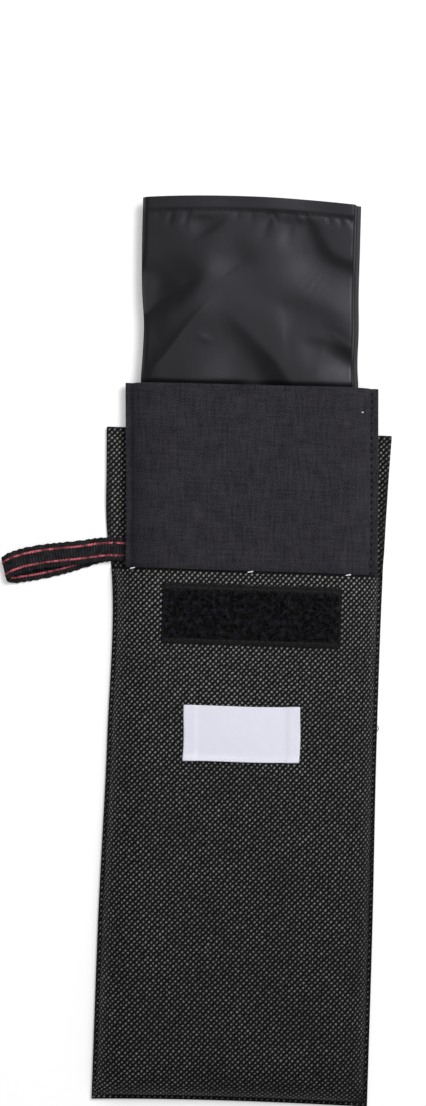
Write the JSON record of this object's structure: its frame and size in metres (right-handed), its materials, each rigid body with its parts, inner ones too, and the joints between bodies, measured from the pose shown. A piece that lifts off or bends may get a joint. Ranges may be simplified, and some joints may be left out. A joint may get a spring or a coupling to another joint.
{
  "type": "insulin cooling case",
  "caption": "Flat black cloth evaporative cooling case with a closing flap, a crystal-filled inner pouch that slides out, a nylon liner bag inside it, and a webbing hanging loop.",
  "frame": {"origin": "middle of the back face of the outer case's pocket, which lies on the table", "axes": "+X to the right seen from the front, +Y towards the mouths, +Z out of the front of the case"},
  "size_m": [0.1673, 0.3848, 0.0161],
  "materials": {
    "case_cloth": "black bonded cloth with a fine staggered pattern of grey dots",
    "pouch_cloth": "matte black plain weave",
    "pouch_lining": "matte black plain weave",
    "liner_nylon": "black nylon with a soft sheen",
    "fastening_tape": "black hook-and-loop tape",
    "label_satin": "white woven satin, bare",
    "label_thread": "white sewing thread",
    "webbing": "black ribbed webbing with fine red lines",
    "cooling_crystals": "off-white polymer granules",
    "black_thread": "black sewing thread"
  },
  "bodies": {
    "outer_case": {"outer_back_panel": "case_cloth", "outer_front_panel": "case_cloth", "case_left_seam_thread": "black_thread", "case_right_seam_thread": "black_thread", "case_bottom_seam_thread": "black_thread", "front_loop_tape": "fastening_tape", "loop_tape_stitching": "black_thread", "sewn_label": "label_satin", "label_stitching": "label_thread", "loop_anchor_tab": "webbing", "loop_anchor_stitching": "black_thread"},
    "flap": {"closure_flap": "case_cloth", "flap_hook_tape": "fastening_tape", "hook_tape_stitching": "black_thread"},
    "carry_loop": {"hanging_loop": "webbing"},
    "cooling_pouch": {"pouch_back_cloth": "pouch_cloth", "pouch_back_lining": "pouch_lining", "pouch_front_lining": "pouch_lining", "pouch_front_cloth": "pouch_cloth", "crystal_layer_back": "cooling_crystals", "crystal_layer_front": "cooling_crystals", "pouch_left_seam_thread": "black_thread", "pouch_right_seam_thread": "black_thread", "pouch_bottom_seam_thread": "black_thread", "pouch_front_hem_thread": "black_thread", "pouch_back_hem_thread": "black_thread"},
    "liner": {"liner_back_panel": "liner_nylon", "liner_front_panel": "liner_nylon", "liner_left_seam_thread": "black_thread", "liner_right_seam_thread": "black_thread", "liner_bottom_seam_thread": "black_thread", "liner_front_hem_thread": "black_thread", "liner_back_hem_thread": "black_thread"}
  },
  "joints": [
    {"name": "pouch_slide", "type": "slide", "parent": "outer_case", "child": "cooling_pouch", "axis": [0, 1, 0], "range_m": [-0.078, 0.136]},
    {"name": "liner_slide", "type": "slide", "parent": "cooling_pouch", "child": "liner", "axis": [0, 1, 0], "range_m": [-0.081, 0.12]},
    {"name": "flap_fold", "type": "hinge", "parent": "outer_case", "child": "flap", "pos_m": [0, 0.12863, 0], "axis": [1, 0, 0], "range_deg": [-170, 0]},
    {"name": "loop_swing", "type": "hinge", "parent": "outer_case", "child": "carry_loop", "pos_m": [-0.06056, 0.12058, 0.00135], "axis": [0, 1, 0], "range_deg": [-80, 100]}
  ]
}
